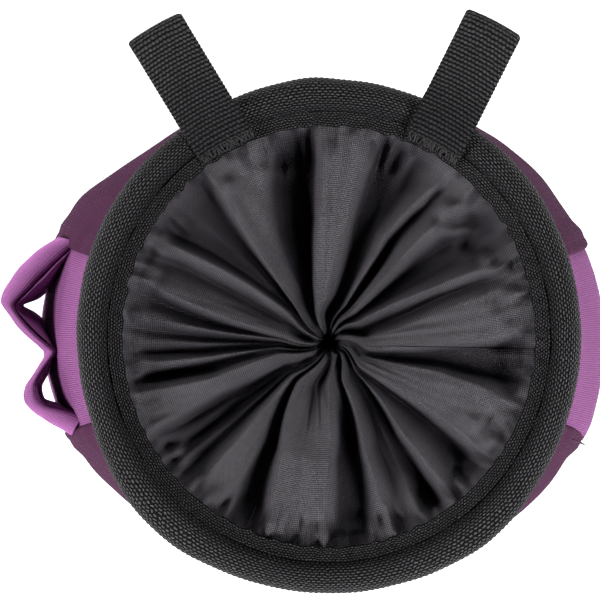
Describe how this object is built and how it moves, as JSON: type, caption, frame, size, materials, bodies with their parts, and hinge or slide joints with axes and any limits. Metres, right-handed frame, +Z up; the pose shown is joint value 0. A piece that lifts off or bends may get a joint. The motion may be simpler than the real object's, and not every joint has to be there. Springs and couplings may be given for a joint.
{
  "type": "climbing chalk bag",
  "caption": "Soft round climbing chalk bag standing on its base, with a padded rim, a closure gathered shut, webbing belt loops and a brush holder.",
  "frame": {"origin": "centre of the base's underside, on the surface that the bag stands on", "axes": "+Z up through the mouth, +Y towards the back with the belt loops, +X to the right seen from the front, so that the brush holder is at -X"},
  "size_m": [0.1635, 0.1469, 0.1599],
  "materials": {
    "plum_cloth": "matte",
    "orchid_cloth": "matte",
    "black_binding": "matte",
    "black_webbing": "matte",
    "grey_nylon": "satin"
  },
  "bodies": {
    "root": {"base_panel": "plum_cloth", "front_panel": "plum_cloth", "back_panel": "plum_cloth", "left_side_panel": "orchid_cloth", "right_side_panel": "orchid_cloth", "rim_ring": "black_binding", "rim_seam_tape": "black_binding", "closure": "grey_nylon", "belt_loop_left": "black_webbing", "belt_loop_right": "black_webbing", "brush_holder": "orchid_cloth"}
  },
  "joints": []
}
